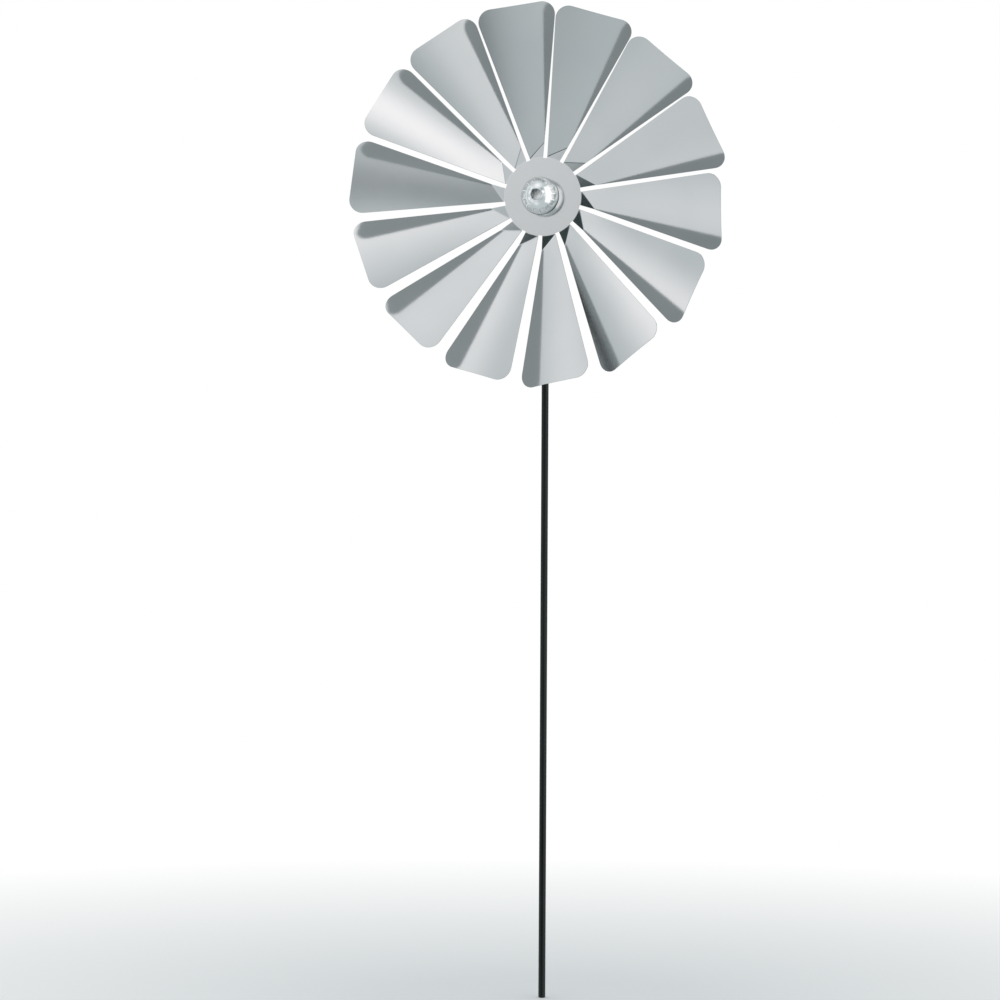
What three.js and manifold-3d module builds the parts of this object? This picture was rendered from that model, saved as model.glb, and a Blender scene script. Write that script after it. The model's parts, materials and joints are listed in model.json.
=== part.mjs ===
// Garden pinwheel: a folded sheet-steel wheel on a ball-bearing hub, on top of a thin steel rod.
// Millimetres, +Z up. The origin is the centre of the rod's lower end. The wheel faces -Y and
// spins about an axle that lies along Y.
import * as THREE from "three";
import { mergeVertices } from "three/addons/utils/BufferGeometryUtils.js";
import Module from "manifold-3d";

const wasm = await Module();
wasm.setup();

// ---- Driving dimensions ---------------------------------------------------------------------
const GAP = 0.15;               // left between pieces that touch
const HUB_HEIGHT = 801;         // axle above the rod's lower end
const PLATE_FRONT = -17;        // Y of the hub plate's front face; the rod's axis is at Y = 0

const wheel = {
  blades: 14,
  sheet: 0.8,                   // thickness
  slitWidth: 4.2,
  slitStart: 38.6,              // radius where each slit begins
  bendRadius: 40,               // the flat hub ends on this circle
  foldRadius: 54.5,             // where a blade's diagonal fold meets its clockwise slit
  tipDistance: 192.7,           // flat blank: hub centre to the straight tip edge
  tipCorner: 12.9,
  facetFold: 8,                 // degrees backward at the hub's edge
  bladeFold: 30,                // degrees forward at the diagonal fold
  bow: 2.5,                     // how far the middle of the tip bulges forward
  firstSlit: 9.56,              // degrees from the +X side
  bore: 9.8,
  strips: 4,                    // facets across a blade
};

const ball = {
  radius: 19,
  centre: PLATE_FRONT - 12.5,
  base: PLATE_FRONT - 0.8,
  hollow: 13,                   // clears the ring nut
  floor: PLATE_FRONT - 3.3,     // of the hollow
  boss: 5.2,                    // presses on the front bearing's inner ring
  threadEnd: PLATE_FRONT - 18.5,
};
const socket = { acrossFlats: 10, depth: 8 };
const axle = { radius: 3.9, front: PLATE_FRONT - 18, rear: 16.5, chamfer: 0.6 };
const head = { radius: 8, bottom: HUB_HEIGHT - 33, top: HUB_HEIGHT + 10, chamfer: 1, endPlay: 0.4 };
const headFlats = { y: 6, bottom: HUB_HEIGHT - 12.5 };
const rod = { radius: 3.5, top: HUB_HEIGHT - 9, chamfer: 0.5 };
const grubScrew = { radius: 1.95, acrossFlats: 2, socketDepth: 1.7, tip: 3.8, end: 7.5, chamfer: 0.5 };
const grubHeights = { upper: HUB_HEIGHT - 18, lower: HUB_HEIGHT - 27 };
const bearing = { bore: 4.05, innerLand: 5.3, outerLand: 6.7, outer: 8, width: 5, pitch: 6 };
const bearingBall = { radius: 1.2, count: 7, raceClearance: 0.2 };
const bearingCage = { inner: 5.6, outer: 6.4, before: 0.6, behind: 1.85, pocketClearance: 0.14 };
const bearingShield = { inset: 0.15, thickness: 0.25 };
const bearingFronts = { front: PLATE_FRONT - 2, rear: PLATE_FRONT + 4 };
const spacer = { innerOutside: 5.2, outerInside: 6.9, headOutside: 5.3 };
const barrel = {
  bore: 8.15,
  spigot: 9.6,                  // the part that passes through the wheel's hole
  body: 11,
  flange: 15,                   // behind the wheel
  flangeDepth: 2.2,
  lip: 7,                       // stops the front bearing
  lipDepth: 0.65,
  rear: -6.4,
};
const ringNut = { radius: 12.4, thickness: 2.2, notch: 1.6 };
const circlip = { inner: 6.9, outer: 8.4, thickness: 0.9, slot: 70, grooveSlack: 0.1 };
const nut = { acrossFlats: 13, height: 6.5 };
const washer = { radius: 8, thickness: 1.4 };

const ROUND = 24;               // facets round a turned piece
const SMALL_ROUND = 14;

// ---- Materials ------------------------------------------------------------------------------
const finish = (color, roughness, metalness) => ({ color, roughness, metalness });
const SATIN_STEEL = finish(0xc3c8c8, 0.22, 1);
const POLISHED_STEEL = finish(0xe2e5e6, 0.04, 1);
const BLACK_COAT = finish(0x0d1614, 0.38, 0);
const TURNED_ALUMINIUM = finish(0xb9bcbd, 0.3, 1);
const ZINC_STEEL = finish(0xa9adae, 0.35, 1);
const BEARING_STEEL = finish(0xced1d3, 0.12, 1);
const CAGE_STEEL = finish(0xb3aea0, 0.3, 1);

// ---- Helpers --------------------------------------------------------------------------------
const AXLE = new THREE.Vector3(0, 1, 0);
const degrees = THREE.MathUtils.degToRad;
const group = new THREE.Group();

/** Adds one named piece to the model. */
function add(name, geometry, look, position = [0, 0, 0]) {
  const mesh = new THREE.Mesh(geometry, new THREE.MeshStandardMaterial(look));
  mesh.name = name;
  mesh.position.set(...position);
  group.add(mesh);
  return mesh;
}

/** Points on an arc about (cx, cy), from one angle to another in degrees, both ends included. */
function arc(cx, cy, radius, from, to, steps) {
  return Array.from({ length: steps + 1 }, (_, i) => {
    const angle = degrees(from + (to - from) * i / steps);
    return [cx + radius * Math.cos(angle), cy + radius * Math.sin(angle)];
  });
}

/** A solid turned about Y. The [radius, y] profile runs up its outer side and back down its inner side. */
function turned(profile, facets = ROUND) {
  const points = profile.map(([r, y]) => new THREE.Vector2(r, y));
  if (points[0].x > 0) points.push(points[0].clone());
  return new THREE.LatheGeometry(points, facets);
}

/** A plain ring about Y between two radii and two Y values. */
const ring = (inner, outer, y0, y1) => turned([[inner, y0], [outer, y0], [outer, y1], [inner, y1]]);

/** An outline in the XZ plane, as seen from the front, extruded from y0 to y1. */
function plate(shape, y0, y1, curveSegments = ROUND) {
  const options = { depth: y1 - y0, bevelEnabled: false, curveSegments };
  return new THREE.ExtrudeGeometry(shape, options).rotateX(Math.PI / 2).translate(0, y1, 0);
}

/** A hexagon with a corner at the top. */
function hexagon(acrossFlats) {
  const corner = acrossFlats / Math.sqrt(3);
  return new THREE.Shape(arc(0, 0, corner, 30, 330, 5).map(([x, z]) => new THREE.Vector2(x, z)));
}

function toSolid(geometry) {
  const bare = geometry.clone();
  bare.deleteAttribute("normal");
  bare.deleteAttribute("uv");
  const merged = mergeVertices(bare, 1e-4);
  const vertProperties = Float32Array.from(merged.attributes.position.array);
  const triVerts = Uint32Array.from(merged.index.array);
  return new wasm.Manifold(new wasm.Mesh({ numProp: 3, vertProperties, triVerts }));
}

function toGeometry(solid) {
  const { vertProperties, triVerts } = solid.getMesh();
  const geometry = new THREE.BufferGeometry();
  geometry.setAttribute("position", new THREE.BufferAttribute(vertProperties, 3));
  geometry.setIndex(new THREE.BufferAttribute(triVerts, 1));
  return geometry;
}

/** One geometry with others cut out of it. */
function cut(geometry, ...tools) {
  return toGeometry(tools.reduce((solid, tool) => solid.subtract(toSolid(tool)), toSolid(geometry)));
}

// ---- Folded wheel ---------------------------------------------------------------------------
/** A point at a radius along one edge of a slit; side +1 is the slit's counter-clockwise edge. */
function onSlitEdge(slitAngle, radius, side) {
  const across = side * wheel.slitWidth / 2;
  const [c, s] = [Math.cos(slitAngle), Math.sin(slitAngle)];
  return new THREE.Vector3(c * radius - s * across, 0, s * radius + c * across);
}

/** The point where a slit's edge meets the tip line x = tipDistance of a blade along +X. */
function onTipLine(slitAngle, side) {
  const start = onSlitEdge(slitAngle, 0, side);
  return onSlitEdge(slitAngle, (wheel.tipDistance - start.x) / Math.cos(slitAngle), side);
}

/** Points on the arc that rounds a corner of the flat outline. */
function roundedCorner(before, corner, after, radius, steps) {
  const back = before.clone().sub(corner).normalize();
  const ahead = after.clone().sub(corner).normalize();
  const half = back.angleTo(ahead) / 2;
  const middle = back.clone().add(ahead).normalize();
  const centre = corner.clone().addScaledVector(middle, radius / Math.sin(half));
  const first = corner.clone().addScaledVector(back, radius / Math.tan(half)).sub(centre);
  const last = corner.clone().addScaledVector(ahead, radius / Math.tan(half)).sub(centre);
  const axis = first.clone().cross(last).normalize();
  const sweep = first.angleTo(last);
  return Array.from({ length: steps + 1 }, (_, i) =>
    first.clone().applyAxisAngle(axis, sweep * i / steps).add(centre));
}

/** Turns a point about the line from one point to another. */
const turnAbout = (point, from, to, angle) =>
  point.clone().sub(from).applyAxisAngle(to.clone().sub(from).normalize(), angle).add(from);

/** How far the flat blade is pushed forward at a point, before it is folded. */
function bowAt(point) {
  const halfStep = Math.tan(Math.PI / wheel.blades);
  const across = Math.min(1, Math.abs(point.z / point.x) / halfStep);
  const along = (point.x - wheel.foldRadius) / (wheel.tipDistance - wheel.foldRadius);
  return wheel.bow * (1 - across * across) * Math.max(0, along);
}

/** Triangles of a flat outline that lies in the XZ plane. */
function fill(outline) {
  const flat = outline.map((p) => new THREE.Vector2(p.x, p.z));
  return THREE.ShapeUtils.triangulateShape(flat, []).map((t) => t.map((i) => outline[i]));
}

/** Middle surface of one blade and its root facet, for a blade along +X. */
function foldedBlade() {
  const half = Math.PI / wheel.blades;
  const rootAhead = onSlitEdge(half, wheel.bendRadius, -1);
  const rootBehind = onSlitEdge(-half, wheel.bendRadius, 1);
  const foldEnd = onSlitEdge(-half, wheel.foldRadius, 1);
  const tipAhead = onTipLine(half, -1);
  const tipBehind = onTipLine(-half, 1);
  const cornerSteps = 5;
  const { strips } = wheel;
  const ahead = roundedCorner(rootAhead, tipAhead, tipBehind, wheel.tipCorner, cornerSteps);
  const behind = roundedCorner(tipAhead, tipBehind, foldEnd, wheel.tipCorner, cornerSteps);

  const toBack = (p) => turnAbout(p, rootAhead, rootBehind, -degrees(wheel.facetFold));
  const foldEndDown = toBack(foldEnd);
  const toFront = (p) => turnAbout(toBack(p), rootAhead, foldEndDown, degrees(wheel.bladeFold));
  const place = (p) => toFront(p.clone().setY(-bowAt(p)));

  const rootLine = Array.from({ length: strips + 1 }, (_, i) => rootAhead.clone().lerp(foldEnd, i / strips));
  const tipLine = rootLine.map((_, i) => tipAhead.clone().lerp(tipBehind, i / strips));
  const triangles = [];
  for (let i = 0; i < strips; i++) {
    const outer = [
      ...(i === 0 ? ahead : [tipLine[i]]),
      ...(i === strips - 1 ? behind : [tipLine[i + 1]]),
    ];
    for (const triangle of fill([rootLine[i], ...outer, rootLine[i + 1]])) {
      triangles.push(triangle.map(place));
    }
  }
  const rim = hubArc(-half, half).reverse();
  const fold = rootLine.map(toBack);
  triangles.push([rim[0], fold[1], rim[1]]);
  for (let i = 1; i < strips; i++) {
    triangles.push([fold[i], fold[i + 1], rim[i + 1]], [fold[i], rim[i + 1], rim[i]]);
  }
  return triangles;
}

/** The hub's rim between two neighbouring slits, from the first to the second. */
function hubArc(slitAngle, nextAngle) {
  const start = onSlitEdge(slitAngle, wheel.bendRadius, 1);
  const end = onSlitEdge(nextAngle, wheel.bendRadius, -1);
  const radius = Math.hypot(start.x, start.z);
  const from = Math.atan2(start.z, start.x);
  const sweep = start.angleTo(end);
  return Array.from({ length: wheel.strips + 1 }, (_, i) => {
    const angle = from + sweep * i / wheel.strips;
    return new THREE.Vector3(radius * Math.cos(angle), 0, radius * Math.sin(angle));
  });
}

/** Middle surface of the flat hub, with its slit ends and its centre hole. */
function hubPlate() {
  const step = 2 * Math.PI / wheel.blades;
  const outline = [];
  for (let i = 0; i < wheel.blades; i++) {
    const slit = degrees(wheel.firstSlit) + step * i;
    outline.push(onSlitEdge(slit, wheel.slitStart, -1), onSlitEdge(slit, wheel.slitStart, 1));
    outline.push(...hubArc(slit, slit + step));
  }
  const hole = arc(0, 0, wheel.bore, 0, -360, ROUND).slice(1).map(([x, z]) => new THREE.Vector3(x, 0, z));
  const points = [...outline, ...hole];
  const flat = (list) => list.map((p) => new THREE.Vector2(p.x, p.z));
  const faces = THREE.ShapeUtils.triangulateShape(flat(outline), [flat(hole)]);
  return faces.map((face) => face.map((i) => points[i]));
}

/** The distinct corners of a list of triangles, and each triangle's three places in that list. */
function sharedCorners(triangles) {
  const points = [];
  const index = triangles.flat().map((corner) => {
    const known = points.findIndex((p) => p.distanceToSquared(corner) < 1e-6);
    return known >= 0 ? known : points.push(corner) - 1;
  });
  return { points, index };
}

/** A closed solid of even thickness about a surface given as triangles. */
function sheetMetal(triangles, thickness) {
  const { points, index } = sharedCorners(triangles);
  const count = points.length;
  const normals = points.map(() => []);
  const edges = new Map();
  for (let f = 0; f < index.length; f += 3) {
    const corners = [index[f], index[f + 1], index[f + 2]];
    const normal = new THREE.Triangle(...corners.map((i) => points[i])).getNormal(new THREE.Vector3());
    corners.forEach((a, i) => {
      const b = corners[(i + 1) % 3];
      if (!normals[a].some((n) => n.dot(normal) > 0.9999)) normals[a].push(normal);
      if (!edges.delete(`${b},${a}`)) edges.set(`${a},${b}`, [a, b]);
    });
  }
  const offsets = normals.map((list) => {
    const mean = list.reduce((sum, n) => sum.add(n), new THREE.Vector3()).divideScalar(list.length);
    return mean.multiplyScalar(thickness / 2 / mean.lengthSq());
  });
  const top = points.map((p, i) => p.clone().add(offsets[i]));
  const bottom = points.map((p, i) => p.clone().sub(offsets[i]));
  const faces = [];
  for (let f = 0; f < index.length; f += 3) {
    const [a, b, c] = [index[f], index[f + 1], index[f + 2]];
    faces.push(a, b, c, a + count, c + count, b + count);
  }
  for (const [a, b] of edges.values()) faces.push(b, a, a + count, b, a + count, b + count);
  const solid = new THREE.BufferGeometry().setFromPoints([...top, ...bottom]);
  solid.setIndex(faces);
  return solid;
}

function pinwheel() {
  const step = 2 * Math.PI / wheel.blades;
  const triangles = hubPlate();
  const blade = foldedBlade();
  for (let i = 0; i < wheel.blades; i++) {
    const middle = degrees(wheel.firstSlit) + step * (i + 0.5);
    triangles.push(...blade.map((face) => face.map((p) => p.clone().applyAxisAngle(AXLE, -middle))));
  }
  const facing = triangles.map(faceForward);
  return sheetMetal(facing, wheel.sheet);
}

/** Orders a triangle's corners so that it faces the front, -Y. */
function faceForward([a, b, c]) {
  const normal = b.clone().sub(a).cross(c.clone().sub(a));
  return normal.y < 0 ? [a, b, c] : [a, c, b];
}

add("pinwheel", pinwheel(), SATIN_STEEL, [0, PLATE_FRONT + wheel.sheet / 2, HUB_HEIGHT]);

// ---- Rotor: barrel that carries the wheel ----------------------------------------------------
const onAxle = [0, 0, HUB_HEIGHT];
const plateBack = PLATE_FRONT + wheel.sheet;
const lipRear = bearingFronts.front - GAP;
const barrelFront = lipRear - barrel.lipDepth;
const rearBearingEnd = bearingFronts.rear + bearing.width;
const circlipFront = rearBearingEnd + GAP;
const circlipRear = circlipFront + circlip.thickness;

function hubBarrel() {
  const grooveFront = circlipFront - circlip.grooveSlack;
  const grooveRear = circlipRear + circlip.grooveSlack;
  const grooveRadius = circlip.outer + GAP;
  const flangeFront = plateBack + GAP;
  const flangeRear = flangeFront + barrel.flangeDepth;
  return turned([
    [barrel.lip, barrelFront], [barrel.spigot, barrelFront], [barrel.spigot, flangeFront],
    [barrel.flange, flangeFront], [barrel.flange, flangeRear], [barrel.body, flangeRear],
    [barrel.body, barrel.rear], [barrel.bore, barrel.rear], [barrel.bore, grooveRear],
    [grooveRadius, grooveRear], [grooveRadius, grooveFront], [barrel.bore, grooveFront],
    [barrel.bore, lipRear], [barrel.lip, lipRear],
  ]);
}

/** Ring nut in front of the hub plate, with four notches for a pin spanner. */
function hubRing() {
  const { radius, thickness, notch } = ringNut;
  const rear = PLATE_FRONT - GAP;
  const front = rear - thickness;
  const blank = ring(barrel.spigot + GAP, radius, front, rear);
  const notches = [0, 1, 2, 3].map((i) => new THREE.BoxGeometry(2 * notch, 2 * notch, notch)
    .translate(radius, front, 0).rotateY(i * Math.PI / 2));
  return cut(blank, ...notches);
}

/** Internal retaining ring: a flat ring with a gap at the top. */
function retainingRing() {
  const { inner, outer, slot } = circlip;
  const [from, to] = [90 + slot / 2, 450 - slot / 2];
  const outline = [...arc(0, 0, outer, from, to, ROUND), ...arc(0, 0, inner, to, from, ROUND)];
  const shape = new THREE.Shape(outline.map(([x, z]) => new THREE.Vector2(x, z)));
  return plate(shape, circlipFront, circlipRear);
}

add("hub_barrel", hubBarrel(), TURNED_ALUMINIUM, onAxle);
add("hub_ring", hubRing(), ZINC_STEEL, onAxle);
add("retaining_ring", retainingRing(), BEARING_STEEL, onAxle);

// ---- Two ball bearings ----------------------------------------------------------------------
/** Half of a race groove's outline: side +1 is cut into the outer ring, -1 into the inner ring. */
function raceGroove(middle, side) {
  const radius = bearingBall.radius + bearingBall.raceClearance;
  const land = side > 0 ? bearing.outerLand : bearing.innerLand;
  const reach = THREE.MathUtils.radToDeg(Math.acos(Math.abs(land - bearing.pitch) / radius));
  const facing = side > 0 ? 0 : 180;
  return arc(bearing.pitch, middle, radius, facing + reach, facing - reach, 3);
}

/** Crown cage: a ring with an open pocket for each ball. */
function cage(middle) {
  const { inner, outer, before, behind, pocketClearance } = bearingCage;
  const blank = ring(inner, outer, middle - before, middle + behind);
  const pocketRadius = bearingBall.radius + pocketClearance;
  const pocketDepth = 3 * (outer - inner);
  const pockets = ballPlaces(middle).map(([x, y, z]) =>
    new THREE.CylinderGeometry(pocketRadius, pocketRadius, pocketDepth, 10)
      .rotateZ(Math.PI / 2).rotateY(-Math.atan2(z, x)).translate(x, y, z));
  return cut(blank, ...pockets);
}

function ballPlaces(middle) {
  return arc(0, 0, bearing.pitch, 0, 360, bearingBall.count).slice(1).map(([x, z]) => [x, middle, z]);
}

for (const [where, start] of Object.entries(bearingFronts)) {
  const end = start + bearing.width;
  const middle = (start + end) / 2;
  const inner = [
    [bearing.bore, start], [bearing.innerLand, start], ...raceGroove(middle, -1),
    [bearing.innerLand, end], [bearing.bore, end],
  ];
  const outer = [
    [bearing.outer, start], [bearing.outer, end], [bearing.outerLand, end],
    ...raceGroove(middle, 1), [bearing.outerLand, start],
  ];
  add(`${where}_bearing_inner_ring`, turned(inner), BEARING_STEEL, onAxle);
  add(`${where}_bearing_outer_ring`, turned(outer), BEARING_STEEL, onAxle);
  add(`${where}_bearing_cage`, cage(middle), CAGE_STEEL, onAxle);
  ballPlaces(middle).forEach(([x, y, z], i) => {
    const sphere = new THREE.SphereGeometry(bearingBall.radius, 9, 6);
    add(`${where}_bearing_ball_${i + 1}`, sphere, BEARING_STEEL, [x, y, HUB_HEIGHT + z]);
  });
  const { inset, thickness } = bearingShield;
  for (const [side, near] of [["front", start + inset], ["rear", end - inset - thickness]]) {
    const shield = ring(bearing.innerLand + GAP, bearing.outerLand - GAP, near, near + thickness);
    add(`${where}_bearing_shield_${side}`, shield, BEARING_STEEL, onAxle);
  }
}

const betweenBearings = [bearingFronts.front + bearing.width + GAP, bearingFronts.rear - GAP];
add("inner_spacer", ring(bearing.bore, spacer.innerOutside, ...betweenBearings), ZINC_STEEL, onAxle);
add("outer_spacer", ring(spacer.outerInside, bearing.outer, ...betweenBearings), ZINC_STEEL, onAxle);

// ---- Axle and its polished ball --------------------------------------------------------------
/** Ball nut: a ball cut flat at the back, hollow over the ring nut, with a hexagon socket. */
function ballHead() {
  const { radius, centre, base, hollow, floor, boss, threadEnd } = ball;
  const baseAngle = THREE.MathUtils.radToDeg(Math.asin((base - centre) / radius));
  const thread = axle.radius + GAP;
  const front = centre - radius;
  const profile = [
    [0, front], ...arc(0, centre, radius, -90, baseAngle, 15).slice(1), [hollow, base], [hollow, floor],
    [boss, floor], [boss, lipRear], [thread, lipRear], [thread, threadEnd], [0, threadEnd],
  ];
  return cut(turned(profile, 36), plate(hexagon(socket.acrossFlats), front - 1, front + socket.depth));
}

/** Threaded stud with chamfered ends. */
function axleStud() {
  const { radius, front, rear, chamfer } = axle;
  return turned([
    [0, front], [radius - chamfer, front], [radius, front + chamfer],
    [radius, rear - chamfer], [radius - chamfer, rear], [0, rear],
  ]);
}

/** Hexagon nut with a round hole. */
function lockNut(start) {
  const shape = hexagon(nut.acrossFlats);
  const hole = arc(0, 0, axle.radius + GAP, 0, -360, ROUND).slice(1);
  shape.holes.push(new THREE.Path(hole.map(([x, z]) => new THREE.Vector2(x, z))));
  return plate(shape, start, start + nut.height);
}

const washerStart = headFlats.y + GAP;
const washerEnd = washerStart + washer.thickness;
add("ball_head", ballHead(), POLISHED_STEEL, onAxle);
add("axle_stud", axleStud(), ZINC_STEEL, onAxle);
const besideHead = [rearBearingEnd + GAP, -headFlats.y - GAP];
add("head_spacer", ring(bearing.bore, spacer.headOutside, ...besideHead), ZINC_STEEL, onAxle);
add("lock_washer", ring(bearing.bore, washer.radius, washerStart, washerEnd), ZINC_STEEL, onAxle);
add("lock_nut", lockNut(washerEnd + GAP), ZINC_STEEL, onAxle);

// ---- Rod, its head and the grub screws --------------------------------------------------------
/** A turned piece that stands along Z. */
const standing = (profile) => turned(profile).rotateX(Math.PI / 2);

function rodHead() {
  const { radius, bottom, top, chamfer, endPlay } = head;
  const boreRadius = rod.radius + GAP;
  const boreEnd = rod.top + endPlay;
  const body = standing([
    [boreRadius, bottom], [radius - chamfer, bottom], [radius, bottom + chamfer],
    [radius, top - chamfer], [radius - chamfer, top], [0, top], [0, boreEnd], [boreRadius, boreEnd],
  ]);
  const height = 2 * (top - headFlats.bottom);
  const flats = [-1, 1].map((side) => new THREE.BoxGeometry(3 * radius, radius, height)
    .translate(0, side * (headFlats.y + radius / 2), headFlats.bottom + height / 2));
  const axleHole = new THREE.CylinderGeometry(axle.radius + GAP, axle.radius + GAP, 3 * radius, ROUND)
    .translate(0, 0, HUB_HEIGHT);
  const grubHoles = Object.values(grubHeights).map((z) =>
    new THREE.CylinderGeometry(grubScrew.radius + GAP, grubScrew.radius + GAP, radius + 2, SMALL_ROUND)
      .translate(0, radius / 2 + 1, z));
  return cut(body, ...flats, axleHole, ...grubHoles);
}

function bar() {
  const { radius, top, chamfer } = rod;
  return standing([
    [0, 0], [radius - chamfer, 0], [radius, chamfer],
    [radius, top - chamfer], [radius - chamfer, top], [0, top],
  ]);
}

function grub() {
  const { radius, tip, end, chamfer, acrossFlats, socketDepth } = grubScrew;
  const profile = [[0, tip], [radius - chamfer, tip], [radius, tip + chamfer], [radius, end], [0, end]];
  return cut(turned(profile, SMALL_ROUND), plate(hexagon(acrossFlats), end - socketDepth, end + 1));
}

add("rod", bar(), BLACK_COAT);
add("rod_head", rodHead(), BLACK_COAT);
for (const [where, z] of Object.entries(grubHeights)) {
  add(`grub_screw_${where}`, grub(), BLACK_COAT, [0, 0, z]);
}

export default group;
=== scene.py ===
"""Garden pinwheel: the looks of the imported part, in metres, in the part's own frame."""

import json
import math

import bmesh
import bpy
from mathutils import Matrix, Vector


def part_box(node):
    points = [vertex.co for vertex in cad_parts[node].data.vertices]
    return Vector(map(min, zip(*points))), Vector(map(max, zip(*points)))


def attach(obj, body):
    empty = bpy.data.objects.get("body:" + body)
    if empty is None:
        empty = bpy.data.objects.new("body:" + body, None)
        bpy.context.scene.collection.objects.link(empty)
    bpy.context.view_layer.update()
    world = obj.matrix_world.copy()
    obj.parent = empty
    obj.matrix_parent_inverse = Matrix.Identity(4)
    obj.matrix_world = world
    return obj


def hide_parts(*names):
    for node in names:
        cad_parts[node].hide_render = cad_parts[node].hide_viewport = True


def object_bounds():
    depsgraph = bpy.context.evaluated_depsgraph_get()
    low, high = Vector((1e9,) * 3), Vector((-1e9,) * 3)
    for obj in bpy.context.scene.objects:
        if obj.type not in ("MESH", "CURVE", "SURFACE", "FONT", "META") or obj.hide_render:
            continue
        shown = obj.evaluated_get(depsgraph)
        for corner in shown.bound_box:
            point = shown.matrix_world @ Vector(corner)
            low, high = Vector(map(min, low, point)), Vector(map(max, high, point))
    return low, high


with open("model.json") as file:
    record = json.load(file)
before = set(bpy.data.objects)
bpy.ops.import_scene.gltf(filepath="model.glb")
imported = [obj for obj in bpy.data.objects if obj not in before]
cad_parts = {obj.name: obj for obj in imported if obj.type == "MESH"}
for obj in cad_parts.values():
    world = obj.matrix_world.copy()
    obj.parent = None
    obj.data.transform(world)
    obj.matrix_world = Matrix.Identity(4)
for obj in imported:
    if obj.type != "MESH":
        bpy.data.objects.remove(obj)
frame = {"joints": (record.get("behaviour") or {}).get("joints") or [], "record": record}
cad_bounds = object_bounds()

# ---- Sizes, in metres -----------------------------------------------------------------------
MM = 0.001
JOINTS = {joint["name"]: joint for joint in frame["joints"]}
HUB = Vector(JOINTS["rotor_spin"]["pos_m"])      # where the axle meets the hub plate's front
HUB_Z = HUB.z
PLATE = HUB.y
GAP = 0.15 * MM                                  # running clearance between neighbouring pieces
NEARLY_ZERO = 0.01 * MM                          # radius that stands for a point on the axis
BALL_RADIUS = 19 * MM
BALL_CENTRE = PLATE - 12.5 * MM

WHEEL = {
    "blades": 14,
    "sheet": 0.8 * MM,
    "slit": 4.2 * MM,
    "slit_start": 38.6 * MM,
    "bend_radius": 40 * MM,
    "rim_radius": 39.3 * MM,
    "fold_radius": 54.5 * MM,
    "tip": 192.5 * MM,
    "corner": 12.9 * MM,
    "facet_fold": math.radians(8),
    "blade_fold": math.radians(30),
    "bow": 2.5 * MM,
    "first_slit": math.radians(9.56),
    "bore": 9.8 * MM,
    "hub_bend": 0.4 * MM,        # half-widths of the two rounded bends
    "root_bend": 1.0 * MM,
}
STEP = 2 * math.pi / WHEEL["blades"]
HALF = STEP / 2


def span(node, axis):
    """Lowest and highest value of a CAD node along one axis."""
    low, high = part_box(node)
    return low[axis], high[axis]


# ---- Mesh helpers ---------------------------------------------------------------------------
def make_object(name, verts, faces, sharp=35):
    """A smooth-shaded object whose edges are sharp above an angle in degrees."""
    mesh = bpy.data.meshes.new(name)
    mesh.from_pydata([tuple(v) for v in verts], [], faces)
    mesh.validate()
    obj = bpy.data.objects.new(name, mesh)
    bpy.context.scene.collection.objects.link(obj)
    tidy_normals(obj)
    shade(obj, sharp)
    return obj


def tidy_normals(obj):
    bm = bmesh.new()
    bm.from_mesh(obj.data)
    bmesh.ops.remove_doubles(bm, verts=bm.verts, dist=1e-7)
    bmesh.ops.recalc_face_normals(bm, faces=bm.faces)
    bm.to_mesh(obj.data)
    bm.free()


def shade(obj, sharp):
    obj.data.shade_smooth()
    obj.data.set_sharp_from_angle(angle=math.radians(sharp))


def apply_modifiers(obj):
    depsgraph = bpy.context.evaluated_depsgraph_get()
    mesh = bpy.data.meshes.new_from_object(obj.evaluated_get(depsgraph))
    obj.modifiers.clear()
    obj.data = mesh


def soften(obj, width, segments=3, angle=35):
    """Rounds the edges that are sharper than an angle."""
    bevel = obj.modifiers.new("edge", "BEVEL")
    bevel.width = width
    bevel.segments = segments
    bevel.limit_method = "ANGLE"
    bevel.angle_limit = math.radians(angle)
    bevel.miter_outer = "MITER_ARC"
    apply_modifiers(obj)
    shade(obj, 50)


def cut_out(obj, *tools):
    for tool in tools:
        boolean = obj.modifiers.new("cut", "BOOLEAN")
        boolean.operation = "DIFFERENCE"
        boolean.solver = "EXACT"
        boolean.object = tool
        apply_modifiers(obj)
        bpy.data.objects.remove(tool)


def circle(radius, along, count=96):
    """A closed loop about Y: count points at one radius."""
    angles = (2 * math.pi * i / count for i in range(count))
    return [Vector((radius * math.cos(a), along, radius * math.sin(a))) for a in angles]


def hex_radius(angle, across_flats):
    """Distance from the centre to a hexagon's side; one corner points up."""
    from_middle = (angle + math.pi / 6) % (math.pi / 3) - math.pi / 6
    return across_flats / 2 / math.cos(from_middle)


def hex_loop(across_flats, along, count=96, cone_radius=None, cone_side=1):
    """A hexagon about Y. With a cone_radius its corners are turned back by a 30 degree cone."""
    points = []
    for i in range(count):
        angle = 2 * math.pi * i / count
        radius = hex_radius(angle, across_flats)
        back = 0 if cone_radius is None else (radius - cone_radius) * math.tan(math.radians(30))
        y = along + cone_side * max(0, back)
        points.append(Vector((radius * math.cos(angle), y, radius * math.sin(angle))))
    return points


def loft(name, loops, closed=False, place=None, sharp=35):
    """Skins loops of equal counts; closed joins the last to the first, otherwise both ends are capped."""
    count = len(loops[0])
    verts = [p for loop in loops for p in loop]
    faces = []
    pairs = len(loops) if closed else len(loops) - 1
    for j in range(pairs):
        a, b = j * count, (j + 1) % len(loops) * count
        for i in range(count):
            k = (i + 1) % count
            faces.append((a + i, a + k, b + k, b + i))
    if not closed:
        faces.append(tuple(range(count)))
        faces.append(tuple(range(len(verts) - count, len(verts))))
    if place is not None:
        verts = [place @ v for v in verts]
    return make_object(name, verts, faces, sharp)


ON_AXLE = Matrix.Translation((0, 0, HUB_Z))
UPRIGHT = Matrix.Rotation(math.pi / 2, 4, "X")


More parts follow.
